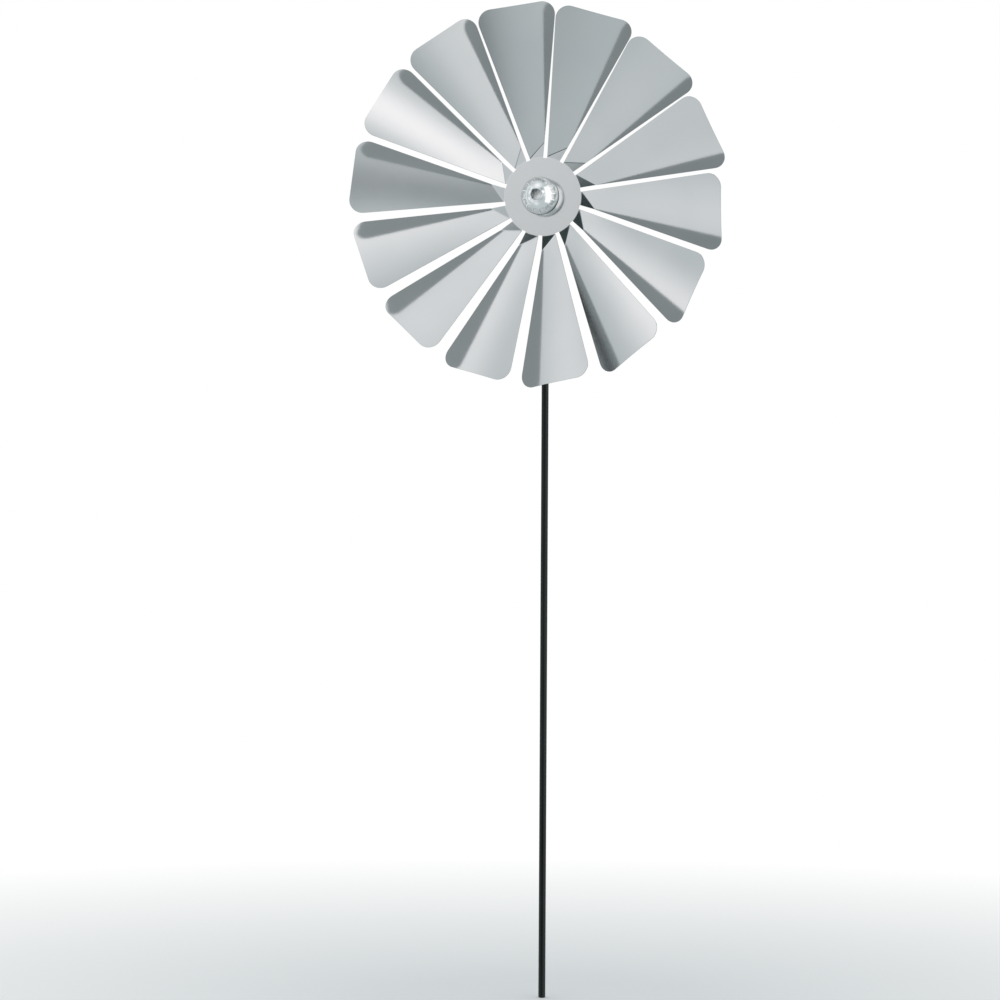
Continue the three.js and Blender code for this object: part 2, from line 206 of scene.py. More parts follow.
def ring(name, inner, outer, start, end, edge=0.1 * MM, count=96):
    """A flat-sided ring about the axle with small chamfers."""
    e = min(edge, (end - start) / 3, (outer - inner) / 3)
    profile = [
        (inner + e, start), (outer - e, start), (outer, start + e), (outer, end - e),
        (outer - e, end), (inner + e, end), (inner, end - e), (inner, start + e),
    ]
    return loft(name, [circle(r, y, count) for r, y in profile], closed=True, place=ON_AXLE)


def arc_points(centre, radius, start, end, steps):
    """(radius, along) points on an arc, from one angle to another in degrees."""
    angles = [math.radians(start + (end - start) * i / steps) for i in range(steps + 1)]
    return [(centre[0] + radius * math.cos(a), centre[1] + radius * math.sin(a)) for a in angles]


# ---- Materials ------------------------------------------------------------------------------
class NodeTree:
    """A short way to write a node tree; every value is a number, a colour or another node's output."""

    def __init__(self, tree):
        self.tree = tree

    def node(self, kind, **inputs):
        node = self.tree.nodes.new(kind)
        for key, value in inputs.items():
            self.put(node.inputs[key.replace("_", " ")], value)
        return node

    def put(self, socket, value):
        if isinstance(value, bpy.types.NodeSocket):
            self.tree.links.new(value, socket)
        else:
            socket.default_value = value

    def operate(self, kind, operation, *values):
        """A node that works out an operation on its values."""
        node = self.tree.nodes.new(kind)
        node.operation = operation
        for socket, value in zip(node.inputs, values):
            self.put(socket, value)
        return node

    def math(self, operation, *values):
        return self.operate("ShaderNodeMath", operation, *values).outputs[0]

    def vector(self, operation, *values):
        return self.operate("ShaderNodeVectorMath", operation, *values).outputs["Vector"]

    def measure(self, operation, *values):
        """An operation on vectors that gives a number."""
        return self.operate("ShaderNodeVectorMath", operation, *values).outputs["Value"]

    def mix_colour(self, factor, first, second):
        node = self.tree.nodes.new("ShaderNodeMix")
        node.data_type = "RGBA"
        self.put(node.inputs[0], factor)
        for socket, colour in ((node.inputs[6], first), (node.inputs[7], second)):
            self.put(socket, (*colour, 1) if isinstance(colour, tuple) else colour)
        return node.outputs[2]


class Nodes(NodeTree):
    """A material, its shader and the noises that vary it."""

    def __init__(self, name):
        self.material = bpy.data.materials.new(name)
        self.material.use_nodes = True
        super().__init__(self.material.node_tree)
        self.shader = self.tree.nodes["Principled BSDF"]
        self.coords = self.tree.nodes.new("ShaderNodeTexCoord").outputs["Object"]

    def set(self, **inputs):
        for key, value in inputs.items():
            self.put(self.shader.inputs[key.replace("_", " ")], value)

    def noise(self, scale, detail=2.0, stretch=(1, 1, 1), roughness=0.5):
        mapping = self.node("ShaderNodeMapping", Vector=self.coords, Scale=stretch)
        noise = self.node("ShaderNodeTexNoise", Vector=mapping.outputs[0], Scale=scale,
                          Detail=detail, Roughness=roughness)
        return noise.outputs["Fac"]

    def spread(self, value, low, high, start=0.3, end=0.7):
        """Maps a texture's value to a range."""
        node = self.node("ShaderNodeMapRange", Value=value)
        for key, number in zip(("From Min", "From Max", "To Min", "To Max"), (start, end, low, high)):
            node.inputs[key].default_value = number
        return node.outputs["Result"]

    def bump(self, height, strength, distance):
        node = self.node("ShaderNodeBump", Height=height, Strength=strength, Distance=distance)
        self.set(Normal=node.outputs[0])


def sheet_steel():
    """Satin cold-rolled stainless: faint rolling grain and soft smudges."""
    m = Nodes("wheel_steel")
    smudge = m.noise(14, 3)
    grain = m.noise(260, 4, stretch=(1, 1, 18), roughness=0.6)
    tone = m.mix_colour(m.spread(smudge, 0, 1), (0.64, 0.65, 0.65), (0.68, 0.685, 0.685))
    rough = m.math("ADD", m.spread(smudge, 0.11, 0.15), m.spread(grain, -0.01, 0.015))
    m.set(Base_Color=tone, Roughness=rough, Metallic=1.0)
    m.bump(grain, 0.05, 0.0004)
    return m.material


def mirror_chrome():
    """Mirror polish with faint wiping marks; the socket is left as machined and rougher, and its walls are
    painted dark as shade in the recess.
    """
    m = Nodes("polished_ball")
    wipes = m.noise(300, 2, stretch=(1, 0.2, 1))
    distance = m.measure("DISTANCE", m.coords, (0, BALL_CENTRE, HUB_Z))
    skin, skin_fade = 0.7 * MM, 0.4 * MM        # how far below the ball's surface the socket starts
    floor_reach, floor_fade = 12.4 * MM, 0.3 * MM       # the socket floor lies within this distance
    inside = m.spread(distance, 1, 0, start=BALL_RADIUS - skin, end=BALL_RADIUS - skin + skin_fade)
    socket_floor = m.spread(distance, 1, 0, start=floor_reach, end=floor_reach + floor_fade)
    # Painted shade: the socket's walls get a dark colour for the shadow in the recess, and its floor keeps
    # the ball's light tone.
    cut = m.mix_colour(socket_floor, (0.22, 0.235, 0.24), (0.8, 0.8, 0.8))
    tone = m.mix_colour(inside, (0.80, 0.815, 0.82), cut)
    rough = m.math("ADD", m.spread(wipes, 0.05, 0.08), m.math("MULTIPLY", inside, 0.2))
    m.set(Base_Color=tone, Roughness=rough, Metallic=1.0)
    return m.material


def coated_black():
    """Semi-gloss black coating with a fine orange-peel skin and rubbed marks."""
    m = Nodes("rod_coating")
    peel = m.noise(1400, 2)
    rub = m.noise(60, 3, stretch=(1, 1, 0.15))
    tone = m.mix_colour(m.spread(rub, 0, 1), (0.002, 0.005, 0.004), (0.005, 0.010, 0.009))
    m.set(Base_Color=tone, Roughness=m.spread(rub, 0.27, 0.4), Metallic=0.0, IOR=1.34)
    m.bump(peel, 0.12, 0.0002)
    return m.material


def machined(name, colour, roughness, pitch, depth):
    """Turned metal: fine rings left by the tool, spaced along the axle and along the radius."""
    m = Nodes(name)
    local = m.node("ShaderNodeMapping", Vector=m.coords, Location=(0, 0, -HUB_Z))
    parts = m.node("ShaderNodeSeparateXYZ", Vector=local.outputs[0])
    x, y, z = parts.outputs
    radius = m.math("SQRT", m.math("ADD", m.math("MULTIPLY", x, x), m.math("MULTIPLY", z, z)))
    phase = m.math("MULTIPLY", m.math("ADD", radius, y), 2 * math.pi / pitch)
    rings = m.math("SINE", phase)
    stain = m.noise(90, 3)
    tone = m.mix_colour(m.spread(stain, 0, 1), colour, tuple(0.86 * c for c in colour))
    rough = m.spread(stain, roughness, roughness * 1.35)
    m.set(Base_Color=tone, Roughness=rough, Metallic=1.0)
    m.bump(rings, 0.25, depth)
    return m.material


def black_oxide():
    m = Nodes("black_steel")
    stain = m.noise(500, 3)
    tone = m.mix_colour(m.spread(stain, 0, 1), (0.02, 0.021, 0.022), (0.045, 0.045, 0.047))
    m.set(Base_Color=tone, Roughness=m.spread(stain, 0.32, 0.48), Metallic=0.8)
    m.bump(stain, 0.1, 0.00005)
    return m.material


MATERIALS = {
    "wheel_steel": sheet_steel(),
    "polished_ball": mirror_chrome(),
    "rod_coating": coated_black(),
    "black_steel": black_oxide(),
    "fastener_steel": machined("fastener_steel", (0.58, 0.59, 0.585), 0.26, 0.12 * MM, 0.01 * MM),
    "barrel_aluminium": machined("barrel_aluminium", (0.69, 0.7, 0.71), 0.24, 0.16 * MM, 0.012 * MM),
    "bearing_steel": machined("bearing_steel", (0.68, 0.69, 0.7), 0.12, 0.08 * MM, 0.004 * MM),
    "cage_steel": machined("cage_steel", (0.6, 0.57, 0.5), 0.3, 0.2 * MM, 0.01 * MM),
}
SLOTS = {part["node"]: part["material_slot"] for part in frame["record"]["subparts"]}
BODIES = {
    node: body for body, nodes in frame["record"]["behaviour"]["bodies"].items() for node in nodes
}


def stand_for(obj, node):
    """The piece takes a CAD node's place, on its body and in its material."""
    obj.data.materials.clear()
    obj.data.materials.append(MATERIALS[SLOTS[node]])
    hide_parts(node)
    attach(obj, BODIES[node])


# ---- The folded wheel -----------------------------------------------------------------------
def on_slit(angle, radius, side):
    """A point at a radius along one edge of a slit; side +1 is the slit's counter-clockwise edge."""
    across = side * WHEEL["slit"] / 2
    c, s = math.cos(angle), math.sin(angle)
    return Vector((c * radius - s * across, 0, s * radius + c * across))


def on_tip_line(angle, side):
    start = on_slit(angle, 0, side)
    return on_slit(angle, (WHEEL["tip"] - start.x) / math.cos(angle), side)


def turn_about(point, start, end, angle):
    axis = (end - start).normalized()
    return Matrix.Rotation(angle, 3, axis) @ (point - start) + start


def rounded_corner(before, corner, after, radius, steps):
    """Points on the arc that rounds a corner of the flat outline."""
    back = (before - corner).normalized()
    ahead = (after - corner).normalized()
    half = back.angle(ahead) / 2
    centre = corner + (back + ahead).normalized() * (radius / math.sin(half))
    first = corner + back * (radius / math.tan(half)) - centre
    last = corner + ahead * (radius / math.tan(half)) - centre
    axis = first.cross(last).normalized()
    sweep = first.angle(last)
    return [centre + Matrix.Rotation(sweep * i / steps, 3, axis) @ first for i in range(steps + 1)]


def crossing(root, tip, point):
    """The fraction f for which the line from root(f) to tip(f) passes through the point."""
    low, high, halvings = 0.0, 1.0, 50

    def side(f):
        a, b = root(f), tip(f)
        return (b.x - a.x) * (point.z - a.z) - (b.z - a.z) * (point.x - a.x)

    rising = side(high) > side(low)
    for _ in range(halvings):
        middle = (low + high) / 2
        if (side(middle) > 0) == rising:
            high = middle
        else:
            low = middle
    return (low + high) / 2


def bow_at(point):
    """How far the flat blade is pushed forward at a point, before it is folded."""
    across = min(1.0, abs(point.z / point.x) / math.tan(HALF))
    along = (point.x - WHEEL["fold_radius"]) / (WHEEL["tip"] - WHEEL["fold_radius"])
    return WHEEL["bow"] * (1 - across * across) * max(0.0, along)


def hub_rim(fraction, radius):
    """A point on the hub's rim between a blade's two slits; 0 is at the counter-clockwise one."""
    start, end = on_slit(HALF, radius, -1), on_slit(-HALF, radius, 1)
    reach = math.hypot(start.x, start.z)
    first, last = math.atan2(start.z, start.x), math.atan2(end.z, end.x)
    angle = first + (last - first) * fraction
    return Vector((reach * math.cos(angle), 0, reach * math.sin(angle)))


def rounded_bend(before, corner, after, width, steps=4):
    """Points round a bend in a line, on a curve that starts and ends a width away from it."""
    most = 0.45                 # of the way to the next point
    a, b = (
        corner + (end - corner).normalized() * min(width, (end - corner).length * most)
        for end in (before, after)
    )
    points = []
    for i in range(steps + 1):
        t = i / steps
        points.append(a * (1 - t) ** 2 + corner * 2 * t * (1 - t) + b * t ** 2)
    return points


def blade_columns():
    """Lines from the hub's rim to the tip of a blade along +X, from its front edge to its back edge."""
    root_ahead = on_slit(HALF, WHEEL["bend_radius"], -1)
    root_behind = on_slit(-HALF, WHEEL["bend_radius"], 1)
    fold_end = on_slit(-HALF, WHEEL["fold_radius"], 1)
    tip_ahead, tip_behind = on_tip_line(HALF, -1), on_tip_line(-HALF, 1)

    def root(f):
        return root_ahead.lerp(fold_end, f)

    def tip(f):
        return tip_ahead.lerp(tip_behind, f)

    def to_back(p):
        return turn_about(p, root_ahead, root_behind, -WHEEL["facet_fold"])

    fold_end_down = to_back(fold_end)

    def to_front(p):
        return turn_about(to_back(p), root_ahead, fold_end_down, WHEEL["blade_fold"])

    corner_steps, middle_steps = 9, 12
    ahead = rounded_corner(root_ahead, tip_ahead, tip_behind, WHEEL["corner"], corner_steps)
    behind = rounded_corner(tip_ahead, tip_behind, fold_end, WHEEL["corner"], corner_steps)
    first, last = crossing(root, tip, ahead[-1]), crossing(root, tip, behind[0])
    middle = [first + (last - first) * i / middle_steps for i in range(1, middle_steps)]
    ends = [(crossing(root, tip, p), p) for p in ahead[1:]]
    ends = [(0.0, ahead[0])] + ends + [(f, tip(f)) for f in middle]
    ends += [(crossing(root, tip, p), p) for p in behind[:-1]] + [(1.0, behind[-1])]

    columns, rows = [], 12
    for f, outer in ends:
        inner = hub_rim(f, WHEEL["slit_start"])
        rim = hub_rim(f, WHEEL["rim_radius"])
        fold = to_back(root(f))
        flat = [root(f).lerp(outer, i / rows) for i in range(1, rows + 1)]
        blade = [to_front(p - Vector((0, bow_at(p), 0))) for p in flat]
        root_curve = rounded_bend(rim, fold, blade[0], WHEEL["root_bend"])
        rim_curve = rounded_bend(inner, rim, fold, WHEEL["hub_bend"])
        columns.append([inner] + rim_curve + root_curve + blade)
    return columns


def wheel_sheet():
    """The middle surface of the whole wheel as one mesh, then its thickness and softened edges."""
    columns = blade_columns()
    rows = len(columns[0])
    verts, faces, outline = [], [], []
    for k in range(WHEEL["blades"]):
        turn = Matrix.Rotation(-(WHEEL["first_slit"] + STEP * (k + 0.5)), 3, "Y")
        base = len(verts)
        for column in columns:
            verts += [turn @ p for p in column]
        for i in range(len(columns) - 1):
            for j in range(rows - 1):
                a, b = base + i * rows + j, base + (i + 1) * rows + j
                faces.append((a, a + 1, b + 1, b))
        outline += [base + i * rows for i in range(len(columns))][::-1]
    count = len(outline)
    hub_radii = (WHEEL["slit_start"] - 0.5 * MM, WHEEL["slit_start"] - 2 * MM, 24 * MM, WHEEL["bore"])
    for radius in hub_radii:
        inner = list(range(len(verts), len(verts) + count))
        verts += [verts[i].normalized() * radius for i in outline]
        for i in range(count):
            k = (i + 1) % count
            faces.append((outline[i], outline[k], inner[k], inner[i]))
        outline = inner
    place = Matrix.Translation((0, PLATE + WHEEL["sheet"] / 2, HUB_Z))
    sheet = make_object("pinwheel_sheet", [place @ v for v in verts], faces, sharp=60)
    thicken = sheet.modifiers.new("thickness", "SOLIDIFY")
    thicken.thickness = WHEEL["sheet"]
    thicken.offset = 0
    thicken.use_even_offset = True
    apply_modifiers(sheet)
    edge = 0.15 * MM
    soften(sheet, edge, segments=2, angle=60)
    flatten = sheet.modifiers.new("normals", "WEIGHTED_NORMAL")
    flatten.keep_sharp = True
    apply_modifiers(sheet)
    return sheet


stand_for(wheel_sheet(), "pinwheel")


# ---- The ball and its socket ----------------------------------------------------------------
def ball_head():
    """Ball nut: a ball cut flat at the back, hollow over the ring nut, with a hexagon socket."""
    radius, centre, count = BALL_RADIUS, BALL_CENTRE, 192
    base = PLATE - 0.8 * MM
    socket, depth, mouth = 10 * MM, 8 * MM, 6.3 * MM
    hollow, hollow_floor = 13 * MM, PLATE - 3.3 * MM
    boss, boss_end = 5.2 * MM, PLATE - 2.15 * MM
    thread, thread_end, drill_point = 4.05 * MM, PLATE - 18.5 * MM, 1.5 * MM
    round_edge, mouth_edge = 0.3 * MM, 0.12 * MM
    mouth_y = centre - math.sqrt(radius ** 2 - mouth ** 2)
    floor_y = centre - radius + depth
    rim = math.sqrt(radius ** 2 - (base - centre) ** 2)

    mouth_angle = math.degrees(math.asin(mouth / radius))
    rim_angle = math.degrees(math.asin((base - centre) / radius))
    surface = arc_points((0, centre), radius, mouth_angle - 90, rim_angle - 1, 60)
    profile = [
        (thread - drill_point, thread_end), (thread, thread_end + drill_point), (thread, boss_end),
        (boss - round_edge, boss_end), (boss, boss_end - round_edge), (boss, hollow_floor),
        (hollow, hollow_floor), (hollow, base - round_edge), (hollow + round_edge, base),
        (rim - round_edge, base), *reversed(surface), (mouth - mouth_edge, mouth_y + 0.04 * MM),
    ]
    loops = [circle(r, y, count) for r, y in profile]
    loops.append(hex_loop(socket, mouth_y + 0.35 * MM, count, cone_radius=mouth, cone_side=-1))
    loops.append(hex_loop(socket, floor_y, count))
    loops.append(circle(socket * 0.46, floor_y + 0.05 * MM, count))
    loops.append(circle(2 * NEARLY_ZERO, floor_y + 0.5 * MM, count))
    return loft("ball", loops, place=ON_AXLE, sharp=28)


stand_for(ball_head(), "ball_head")


# ---- Axle, fasteners and barrel -------------------------------------------------------------
def threaded(radius, start, end, pitch, depth, count, step=0.1 * MM):
    """Loops of a thread whose ridge climbs one pitch with each turn and fades out at both ends."""
    loops = []
    rows, fading_rows = int(round((end - start) / step)), 8
    for j in range(rows + 1):
        along = start + (end - start) * j / rows
        lead_in = min(1.0, (end - along) / (0.8 * pitch))
        loop = []
        for i in range(count):
            turn = i / count
            wave = abs(((along / pitch + turn) % 1.0) * 2 - 1)
            r = radius - depth * wave * min(1.0, j / fading_rows) - depth * (1 - lead_in)
            angle = 2 * math.pi * turn
            loop.append(Vector((r * math.cos(angle), along, r * math.sin(angle))))
        loops.append(loop)
    return loops


def axle_stud():
    """M8 stud, plain where other pieces hide it and threaded from the nut to its rear end."""
    radius, chamfer, count = 3.9 * MM, 0.6 * MM, 64
    pitch, thread_depth = 1.25 * MM, 0.65 * MM
    front, rear = span("axle_stud", 1)
    thread_start = span("lock_nut", 1)[0]
    loops = [circle(radius - chamfer, front, count), circle(radius, front + chamfer, count)]
    loops += threaded(radius, thread_start, rear, pitch, thread_depth, count)
    return loft("stud", loops, place=ON_AXLE)


def lock_nut():
    """Hexagon nut, its corners turned back at both ends and its hole chamfered."""
    start, end = span("lock_nut", 1)
    flats, hole, lead = 13 * MM, 4.05 * MM, 0.5 * MM
    face = flats / 2 * 0.97
    loops = [
        circle(hole, start + lead), circle(hole + lead, start), circle(face, start),
        hex_loop(flats, start, cone_radius=face), hex_loop(flats, end, cone_radius=face, cone_side=-1),
        circle(face, end), circle(hole + lead, end), circle(hole, end - lead),
    ]
    return loft("nut", loops, closed=True, place=ON_AXLE, sharp=25)


def hub_barrel():
    """Turned sleeve, flanged behind the sheet, with a groove for the retaining ring in its bore."""
    start, end = span("hub_barrel", 1)
    bore, spigot, body, flange, lip = 8.15 * MM, 9.6 * MM, 11 * MM, 15 * MM, 7 * MM
    flange_front = PLATE + WHEEL["sheet"] + GAP
    flange_rear = flange_front + 2.2 * MM
    clip_front, clip_rear = span("retaining_ring", 1)
    slot, slack = 8.55 * MM, 0.1 * MM
    bearing_front = PLATE - 2 * MM - GAP
    e = 0.3 * MM                # chamfers
    profile = [
        (lip, start), (spigot - e, start), (spigot, start + e), (spigot, flange_front),
        (flange - e, flange_front), (flange, flange_front + e), (flange, flange_rear - e),
        (flange - e, flange_rear), (body + e, flange_rear), (body, flange_rear + e),
        (body, end - e), (body - e, end), (bore + e, end), (bore, end - e),
        (bore, clip_rear + slack), (slot, clip_rear + slack),
        (slot, clip_front - slack), (bore, clip_front - slack),
        (bore, bearing_front), (lip, bearing_front),
    ]
    return loft("barrel", [circle(r, y, 128) for r, y in profile], closed=True, place=ON_AXLE)


def hub_ring():
    """Ring nut with four notches in its front for a pin spanner."""
    start, end = span("hub_ring", 1)
    inner, outer, notch = 9.75 * MM, 12.4 * MM, 1.6 * MM
    nut = ring("spanner_ring", inner, outer, start, end, edge=0.25 * MM)
    for i in range(4):
        bpy.ops.mesh.primitive_cube_add(size=1)
        box = bpy.context.object
        turn = Matrix.Rotation(i * math.pi / 2, 4, "Y")
        size = Matrix.Diagonal((notch * 2, notch, notch, 1))
        box.data.transform(ON_AXLE @ turn @ Matrix.Translation((outer, start, 0)) @ size)
        cut_out(nut, box)
    shade(nut, 35)
    return nut


def retaining_ring():
    """Open spring ring with rounded ends; its gap is at the top."""
    start, end = span("retaining_ring", 1)
    inner, outer, gap = 6.9 * MM, 8.4 * MM, 70
    middle, half = (inner + outer) / 2, (outer - inner) / 2
    first, last = 90 + gap / 2, 450 - gap / 2
    round_steps, end_steps = 72, 8

    def rounded_end(angle, facing):
        turned = math.radians(angle)
        centre = (middle * math.cos(turned), middle * math.sin(turned))
        return arc_points(centre, half, angle + facing, angle + facing + 180, end_steps)[1:-1]

    outline = arc_points((0, 0), outer, first, last, round_steps) + rounded_end(last, 0)
    outline += arc_points((0, 0), inner, last, first, round_steps) + rounded_end(first, 180)
    loops = [[Vector((x, y, z)) for x, z in outline] for y in (start, end)]
    clip = loft("circlip", loops, place=ON_AXLE)
    soften(clip, 0.08 * MM, segments=2)
    return clip


PLAIN_RINGS = {                 # inner radius
    "lock_washer": 4.05 * MM,
    "head_spacer": 4.05 * MM,
    "inner_spacer": 4.05 * MM,
    "outer_spacer": 6.9 * MM,
}


def plain_ring(node):
    """A chamfered ring as long and as wide as the CAD one."""
    start, end = span(node, 1)
    low, high = span(node, 2)
    return ring(node + "_fine", PLAIN_RINGS[node], (high - low) / 2, start, end, edge=0.2 * MM)


stand_for(axle_stud(), "axle_stud")
stand_for(lock_nut(), "lock_nut")
stand_for(hub_barrel(), "hub_barrel")
stand_for(hub_ring(), "hub_ring")
stand_for(retaining_ring(), "retaining_ring")
for node_name in PLAIN_RINGS:
    stand_for(plain_ring(node_name), node_name)


# ---- Bearings -------------------------------------------------------------------------------
BEARING = {                     # radii
    "bore": 4.05 * MM,
    "inner": 5.3 * MM,
    "pitch": 6 * MM,
    "outer": 6.7 * MM,
    "outside": 8 * MM,
}
BALLS = 7
ROLLING_BALL = 1.2 * MM
GROOVE = 1.3 * MM


def groove(middle, side, steps=14):
    """The round track for the balls, in the inner ring (side -1) or the outer one (side +1)."""
    land = BEARING["outer"] if side > 0 else BEARING["inner"]
    reach = math.degrees(math.acos(abs(land - BEARING["pitch"]) / GROOVE))
    facing = 0 if side > 0 else 180
    return arc_points((BEARING["pitch"], middle), GROOVE, facing + reach, facing - reach, steps)


def bearing_rings(where):
    """The inner and the outer ring, each with its groove."""
    for side, part in ((-1, "inner"), (1, "outer")):
        node = f"{where}_bearing_{part}_ring"
        start, end = span(node, 1)
        middle, e = (start + end) / 2, 0.2 * MM
        if side < 0:
            bore, land = BEARING["bore"], BEARING["inner"]
            profile = [(bore + e, start), (land, start)] + groove(middle, side)
            profile += [(land, end), (bore + e, end), (bore, end - e), (bore, start + e)]
        else:
            outside, land = BEARING["outside"], BEARING["outer"]
            profile = [(outside - e, start), (outside, start + e), (outside, end - e)]
            profile += [(outside - e, end), (land, end)] + groove(middle, side) + [(land, start)]
        loops = [circle(r, y) for r, y in profile]
        stand_for(loft(node + "_fine", loops, closed=True, place=ON_AXLE), node)


def bearing_cage(where):
    """Crown cage: a ring with a round pocket for each ball, open at the front."""
    node = f"{where}_bearing_cage"
    start, end = span(node, 1)
    middle = start + 0.6 * MM
    inner, outer, pocket = 5.6 * MM, 6.4 * MM, ROLLING_BALL + 0.14 * MM
    lie = Matrix.Rotation(math.pi / 2, 4, "Y")
    cage = ring(node + "_fine", inner, outer, start, end, edge=0.08 * MM)
    for i in range(1, BALLS + 1):
        bpy.ops.mesh.primitive_cylinder_add(vertices=32, radius=pocket, depth=3 * MM)
        tool = bpy.context.object
        turn = Matrix.Rotation(-2 * math.pi * i / BALLS, 4, "Y")
        tool.data.transform(ON_AXLE @ turn @ Matrix.Translation((BEARING["pitch"], middle, 0)) @ lie)
        cut_out(cage, tool)
    shade(cage, 35)
    stand_for(cage, node)


def bearing_ball(where, number):
    """A ball from an icosphere, so that its faces are even all over."""
    node = f"{where}_bearing_ball_{number}"
    low, high = (Vector(corner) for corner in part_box(node))
    centre = (low + high) / 2
    bm = bmesh.new()
    bmesh.ops.create_icosphere(bm, subdivisions=4, radius=0.999 * ROLLING_BALL)
    verts = [v.co + centre for v in bm.verts]
    faces = [tuple(v.index for v in f.verts) for f in bm.faces]
    bm.free()
    stand_for(make_object(node + "_fine", verts, faces, sharp=80), node)


def bearing_shield(where, side):
    """Thin pressed shield with a raised outer rim."""
    node = f"{where}_bearing_shield_{side}"
    start, end = span(node, 1)
    inner, outer = BEARING["inner"] + GAP, BEARING["outer"] - GAP
    e = 0.04 * MM
    outward = start if side == "front" else end
    inward = end if side == "front" else start
    dish = (inward - outward) * 0.3
    profile = [
        (inner, outward + dish), (inner + 0.5 * MM, outward + dish), (outer - 0.3 * MM, outward),
        (outer - e, outward), (outer, outward + dish * 0.3), (outer, inward), (inner, inward),
    ]
    loops = [circle(r, y) for r, y in profile]
    stand_for(loft(node + "_fine", loops, closed=True, place=ON_AXLE), node)


for bearing_name in ("front", "rear"):
    bearing_rings(bearing_name)
    bearing_cage(bearing_name)
    for ball_number in range(1, BALLS + 1):
        bearing_ball(bearing_name, ball_number)
    for shield_side in ("front", "rear"):
        bearing_shield(bearing_name, shield_side)


# ---- Rod, head and grub screws --------------------------------------------------------------
def rod():
    low, high = span("rod", 2)
    radius, chamfer, count, steps = 3.5 * MM, 0.45 * MM, 64, 24
    between = [(radius, low + (high - low) * i / steps) for i in range(1, steps)]
    profile = [(radius - chamfer, low), (radius, low + chamfer), *between]
    profile += [(radius, high - chamfer), (radius - chamfer, high)]
    return loft("rod_fine", [circle(r, z, count) for r, z in profile], place=UPRIGHT)


def rod_head():
    """Turned head with two milled flats, a cross hole for the axle and holes for the grub screws."""
    low, high = span("rod_head", 2)
    radius, flat, flat_below = 8 * MM, 6 * MM, 12.5 * MM
    bore, bore_end = 3.65 * MM, span("rod", 2)[1] + 0.4 * MM
    profile = [
        (bore, low), (radius, low), (radius, high),
        (NEARLY_ZERO, high), (NEARLY_ZERO, bore_end), (bore, bore_end),
    ]
    body = loft("head_body", [circle(r, z, 96) for r, z in profile], closed=True, place=UPRIGHT)
    height = high - HUB_Z + flat_below + 1 * MM
    for side in (-1, 1):
        bpy.ops.mesh.primitive_cube_add(size=1)
        box = bpy.context.object
        where = Matrix.Translation((0, side * (flat + radius / 2), HUB_Z - flat_below + height / 2))
        box.data.transform(where @ Matrix.Diagonal((3 * radius, radius, height, 1)))
        cut_out(body, box)
    axle_hole, screw_hole = 4.05 * MM, 2.1 * MM
    holes = [(axle_hole, 0, 3 * radius, HUB_Z)]
    for place in ("upper", "lower"):
        screw_z = sum(span(f"grub_screw_{place}", 2)) / 2
        holes.append((screw_hole, radius / 2 + 1 * MM, radius + 2 * MM, screw_z))
    for hole_radius, along, length, z in holes:
        bpy.ops.mesh.primitive_cylinder_add(vertices=48, radius=hole_radius, depth=length)
        tool = bpy.context.object
        tool.data.transform(Matrix.Translation((0, along, z)) @ Matrix.Rotation(math.pi / 2, 4, "X"))
        cut_out(body, tool)
    soften(body, 0.35 * MM, segments=3, angle=40)
    return body


def grub_screw(place):
    """M4 set screw with a chamfered point and a hexagon socket in its rear end."""
    node = f"grub_screw_{place}"
    start, end = span(node, 1)
    count, radius, point, e = 48, 1.95 * MM, 0.5 * MM, 0.2 * MM
    flats, mouth, depth = 2 * MM, 1.3 * MM, 1.7 * MM
    profile = [
        (radius - point, start), (radius, start + point),
        (radius, end - e), (radius - e, end), (mouth, end),
    ]
    loops = [circle(r, y, count) for r, y in profile]
    loops += [hex_loop(flats, end - 0.15 * MM, count), hex_loop(flats, end - depth, count)]
    loops += [circle(2 * NEARLY_ZERO, end - depth - 0.3 * MM, count)]
    at = Matrix.Translation((0, 0, sum(span(node, 2)) / 2))
    return loft(node + "_fine", loops, place=at, sharp=30)


stand_for(rod(), "rod")
stand_for(rod_head(), "rod_head")
for screw_place in ("upper", "lower"):
    stand_for(grub_screw(screw_place), f"grub_screw_{screw_place}")


# ---- Studio: floor, surroundings and camera --------------------------------------------------
def direction(azimuth, elevation):
    """Unit vector: azimuth 0 points at -Y, the wheel's front, and 90 at +X."""
    a, e = math.radians(azimuth), math.radians(elevation)
    return Vector((math.sin(a) * math.cos(e), -math.cos(a) * math.cos(e), math.sin(e)))


WARM = (1.11, 0.99, 0.985)
COOL = (0.95, 1.01, 1.03)
# Pools of light and shade: azimuth, elevation and spread in degrees, then how strongly and in
# which tint each adds to the room's own colour, or takes away from it.
POOLS = {
    "key_light": (32, 20, 8, 0.8, WARM),
    "top_light": (-15, 60, 20, 0.5, WARM),
    "left_light_high": (-55, 40, 8, 0.4, WARM),
    "left_light": (-50, 15, 12, 0.6, WARM),
    "left_light_low": (-60, -15, 8, 0.5, WARM),
    "lower_left_light": (-45, -30, 12, 0.3, WARM),
    "lowest_light": (-20, -50, 12, 0.3, WARM),
    "right_light": (40, 0, 8, 0.3, WARM),
    "front_light": (-15, 8, 10, 0.4, WARM),
    "photographer": (8, -12, 12, -1.2, COOL),
    "tripod": (-15, -12, 10, -0.7, COOL),
    "front_shade": (5, 8, 10, -0.6, COOL),
    "upper_shade": (22, 38, 8, -0.3, COOL),
    "rear_shade": (180, 0, 60, -0.2, COOL),
}
# Large cards: azimuth, elevation, half width, half height and edge softness in degrees, colour.
CARDS = {
    "right_box": (80, 5, 35, 45, 10, (1.3, 1.3, 1.3)),
    "left_box": (-100, 5, 25, 50, 12, (0.85, 0.9, 0.9)),
}
ROOM = (0.62, 0.68, 0.70)
DEEPEST = (0.02, 0.035, 0.032)     # the darkest that the surroundings get
BACKDROP = (1.0, 1.0, 1.0)


